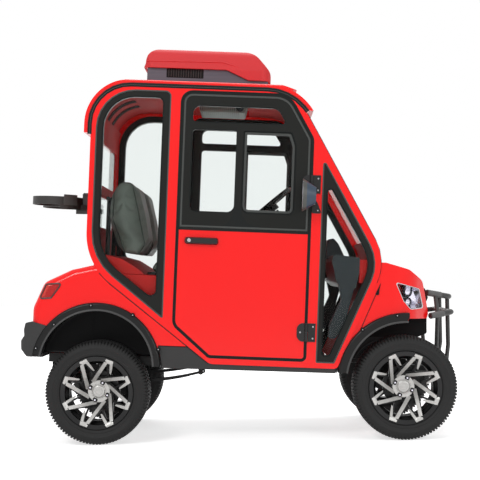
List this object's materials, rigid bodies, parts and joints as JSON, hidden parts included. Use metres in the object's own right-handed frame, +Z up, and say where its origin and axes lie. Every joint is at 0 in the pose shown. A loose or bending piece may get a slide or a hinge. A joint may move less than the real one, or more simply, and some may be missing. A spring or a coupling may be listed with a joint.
{
  "type": "enclosed electric golf cart",
  "caption": "Two-seat electric golf cart with a closed cab, lifted suspension, opening doors, rooftop air conditioner, brush guard and an open bag well behind the cab",
  "frame": {"origin": "on the ground below the middle of the cart's overall length and width", "axes": "+X forward, +Y to the driver's left, +Z up"},
  "size_m": [2.3851, 1.484, 2.188],
  "materials": {
    "red_paint": "gloss",
    "black_sash": "satin",
    "black_steel": "satin",
    "black_plastic": "matte",
    "grey_plastic": "matte",
    "roof_plastic": "gloss",
    "lamp_clear": "gloss",
    "lamp_red": "gloss",
    "glass": "gloss",
    "steel": "brushed",
    "alloy": "machined",
    "tyre": "matte",
    "seat_vinyl": "satin",
    "iron": "matte",
    "battery_case": "matte"
  },
  "bodies": {
    "chassis": {"side_frame_right": "red_paint", "side_frame_left": "red_paint", "window_surrounds": "black_sash", "quarter_glass": "glass", "hinge_brackets": "black_steel", "roof_shell": "roof_plastic", "rear_wall": "red_paint", "rear_glass": "glass", "windshield": "glass", "front_wall": "red_paint", "ac_cover": "roof_plastic", "ac_base": "black_plastic", "ceiling_vent": "grey_plastic", "chassis_frame": "black_steel", "floor_pan": "black_plastic", "seat_pod": "red_paint", "battery_pack": "battery_case", "rear_body": "red_paint", "rear_bumper": "black_plastic", "rocker_panels": "black_plastic", "fender_flares": "black_plastic", "front_cowl": "red_paint", "headlights": "lamp_clear", "nose_panel": "black_plastic", "front_valance": "black_plastic", "taillights": "lamp_red", "dashboard": "black_plastic", "steering_column": "black_plastic", "pedals": "black_steel", "seat_backs": "seat_vinyl", "seat_frame": "steel", "bag_holder": "black_plastic", "front_axle": "black_steel", "rear_axle": "iron", "leaf_springs": "black_steel", "shock_absorbers": "black_steel", "brush_guard": "black_steel"},
    "door_right": {"door_panel_right": "red_paint", "door_sash_right": "black_sash", "door_glass_right": "glass", "door_hardware_right": "black_plastic"},
    "door_left": {"door_panel_left": "red_paint", "door_sash_left": "black_sash", "door_glass_left": "glass", "door_hardware_left": "black_plastic"},
    "wheel_front_right": {"rim_front_right": "alloy", "tyre_front_right": "tyre"},
    "wheel_front_left": {"rim_front_left": "alloy", "tyre_front_left": "tyre"},
    "wheel_rear_right": {"rim_rear_right": "alloy", "tyre_rear_right": "tyre"},
    "wheel_rear_left": {"rim_rear_left": "alloy", "tyre_rear_left": "tyre"},
    "seat_cushion": {"seat_cushion": "seat_vinyl"},
    "steering_wheel": {"steering_wheel": "black_plastic"},
    "tie_rod": {"tie_rod": "steel"},
    "knuckle_right": {"knuckle_right": "iron"},
    "knuckle_left": {"knuckle_left": "iron"}
  },
  "joints": [
    {"name": "steer_left", "type": "hinge", "parent": "chassis", "child": "knuckle_left", "pos_m": [0.875, 0.43, 0.28], "axis": [0, 0, 1], "range_deg": [-30, 30]},
    {"name": "steer_right", "type": "hinge", "parent": "chassis", "child": "knuckle_right", "pos_m": [0.875, -0.43, 0.28], "axis": [0, 0, 1], "range_deg": [-30, 30]},
    {"name": "tie_rod_pivot", "type": "hinge", "parent": "knuckle_left", "child": "tie_rod", "pos_m": [0.745, 0.43, 0.232], "axis": [0, 0, 1], "range_deg": [-30, 30]},
    {"name": "steering_wheel_turn", "type": "hinge", "parent": "chassis", "child": "steering_wheel", "pos_m": [0.1697, 0.3, 1.31558], "axis": [-0.6266, 0, 0.7793], "range_deg": [-300, 300]},
    {"name": "wheel_front_right_spin", "type": "hinge", "parent": "knuckle_right", "child": "wheel_front_right", "pos_m": [0.875, -0.51, 0.28], "axis": [0, 1, 0], "continuous": true},
    {"name": "wheel_front_left_spin", "type": "hinge", "parent": "knuckle_left", "child": "wheel_front_left", "pos_m": [0.875, 0.51, 0.28], "axis": [0, 1, 0], "continuous": true},
    {"name": "wheel_rear_right_spin", "type": "hinge", "parent": "chassis", "child": "wheel_rear_right", "pos_m": [-0.785, -0.51, 0.28], "axis": [0, 1, 0], "continuous": true},
    {"name": "wheel_rear_left_spin", "type": "hinge", "parent": "chassis", "child": "wheel_rear_left", "pos_m": [-0.785, 0.51, 0.28], "axis": [0, 1, 0], "continuous": true},
    {"name": "door_right_hinge", "type": "hinge", "parent": "chassis", "child": "door_right", "pos_m": [0.36833, -0.615, 0.98097], "axis": [0.0558, 0, 0.9984], "range_deg": [0, 65]},
    {"name": "door_left_hinge", "type": "hinge", "parent": "chassis", "child": "door_left", "pos_m": [0.36833, 0.615, 0.98097], "axis": [-0.0558, 0, -0.9984], "range_deg": [0, 65]},
    {"name": "seat_lift", "type": "hinge", "parent": "chassis", "child": "seat_cushion", "pos_m": [-0.15573, 0, 0.88708], "axis": [0, 1, 0], "range_deg": [0, 50]}
  ],
  "couplings": [
    {"joint": "steer_right", "follows": "steer_left", "ratio": 1},
    {"joint": "tie_rod_pivot", "follows": "steer_left", "ratio": -1},
    {"joint": "steering_wheel_turn", "follows": "steer_left", "ratio": 10}
  ]
}
